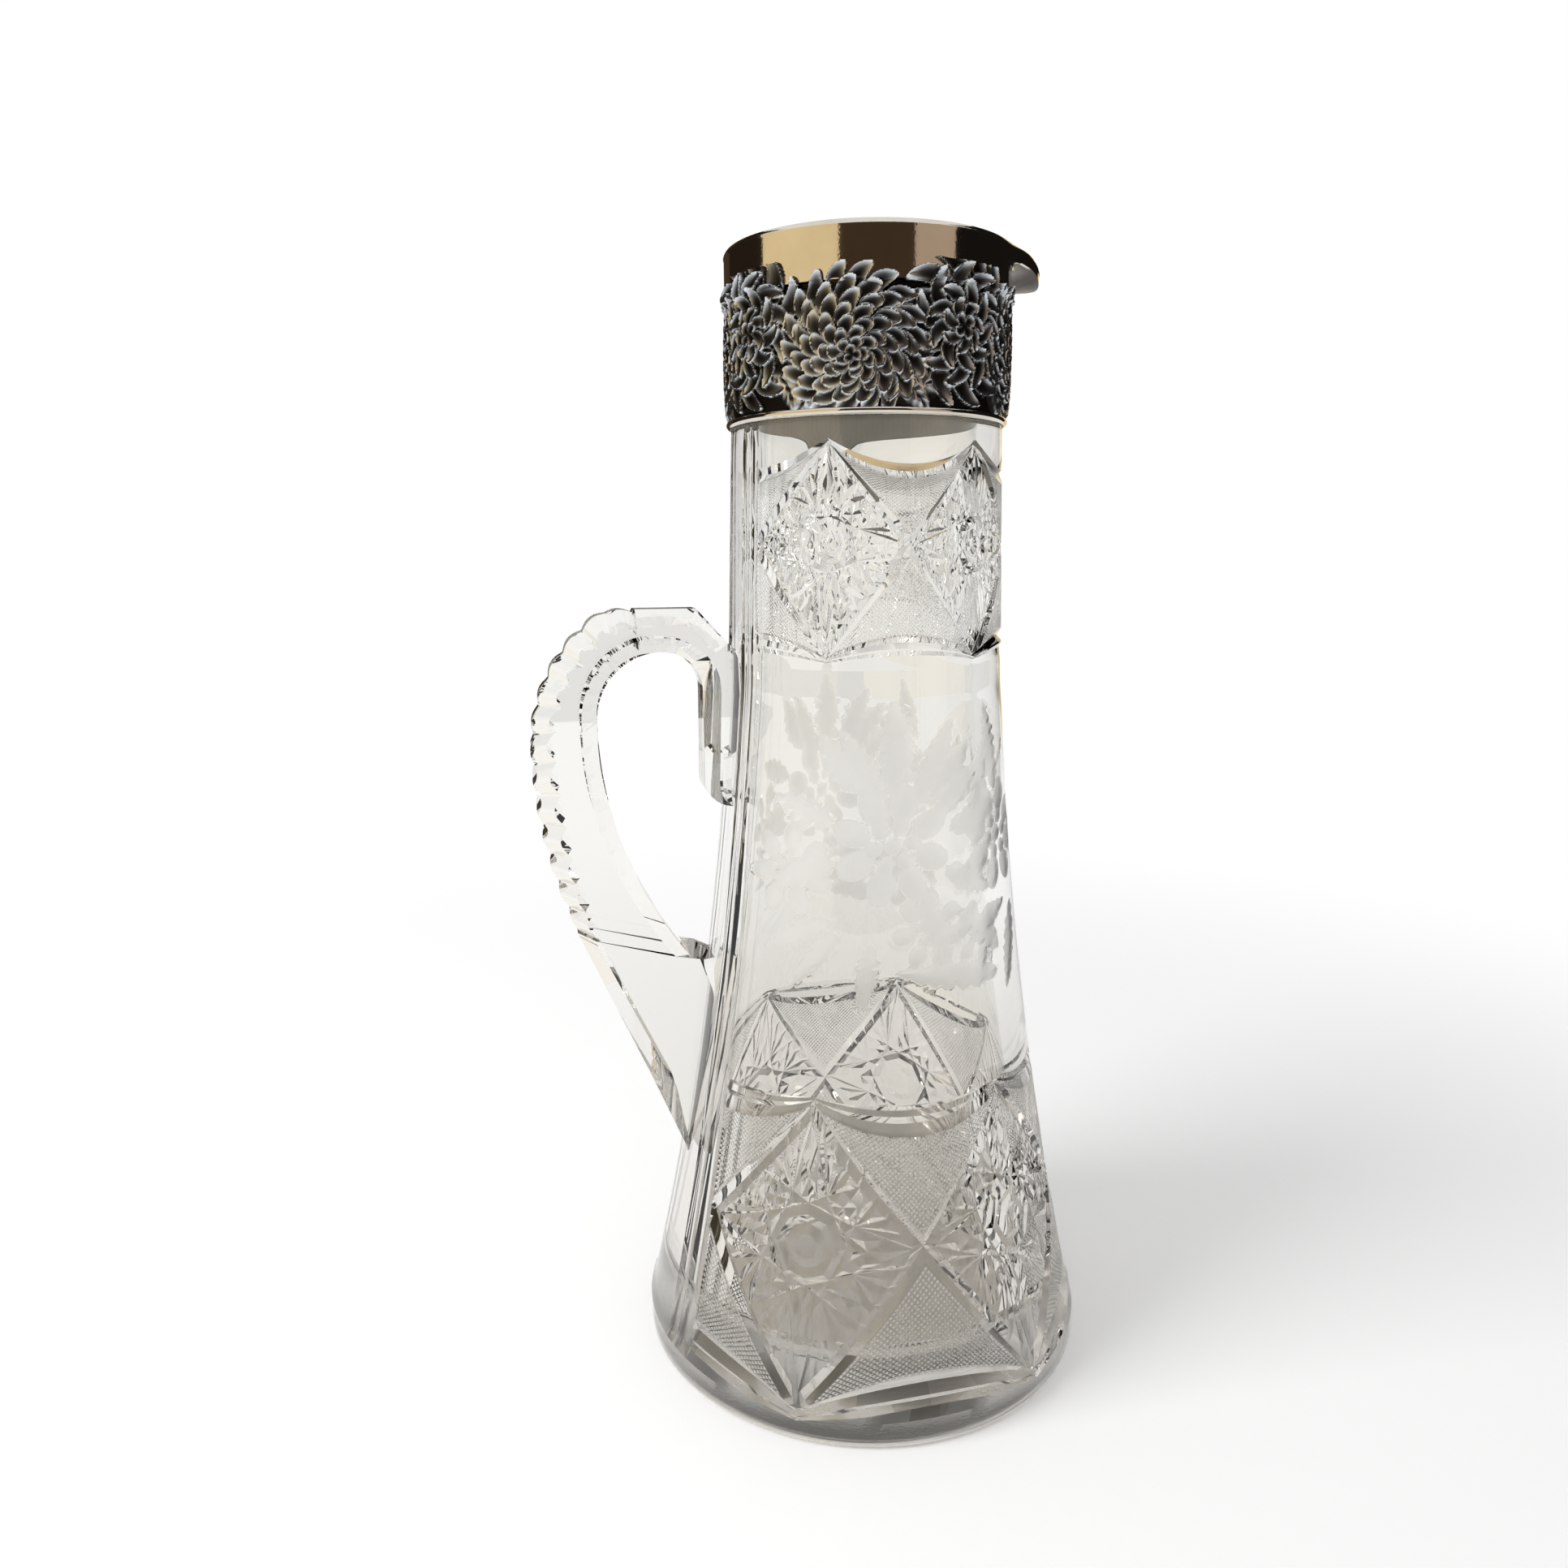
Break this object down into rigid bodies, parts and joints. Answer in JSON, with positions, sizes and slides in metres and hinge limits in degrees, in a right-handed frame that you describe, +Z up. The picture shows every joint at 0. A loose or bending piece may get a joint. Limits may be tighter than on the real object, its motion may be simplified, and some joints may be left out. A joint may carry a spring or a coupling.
{
  "type": "silver-mounted glass jug",
  "caption": "Tall flared cut-glass claret jug with a notched glass handle, a chased silver collar, a plain silver rim and a short pouring lip.",
  "frame": {"origin": "centre of the jug's flat base", "axes": "+Z up along the jug's axis, +X towards the pouring lip, -X towards the handle"},
  "size_m": [0.1547, 0.127, 0.3],
  "materials": {
    "cut_glass": "polished cut glass with frosted wheel engraving",
    "silver": "chased and polished silver, darkened in the ground",
    "plaster": "matt set plaster"
  },
  "bodies": {
    "root": {"glass_body": "cut_glass", "glass_handle": "cut_glass", "collar_band": "silver", "foot_wire": "silver", "rim_band": "silver", "rim_wire": "silver", "mouth_plate": "silver", "collar_lining": "silver", "pouring_lip": "silver", "plaster_bed": "plaster"}
  },
  "joints": []
}
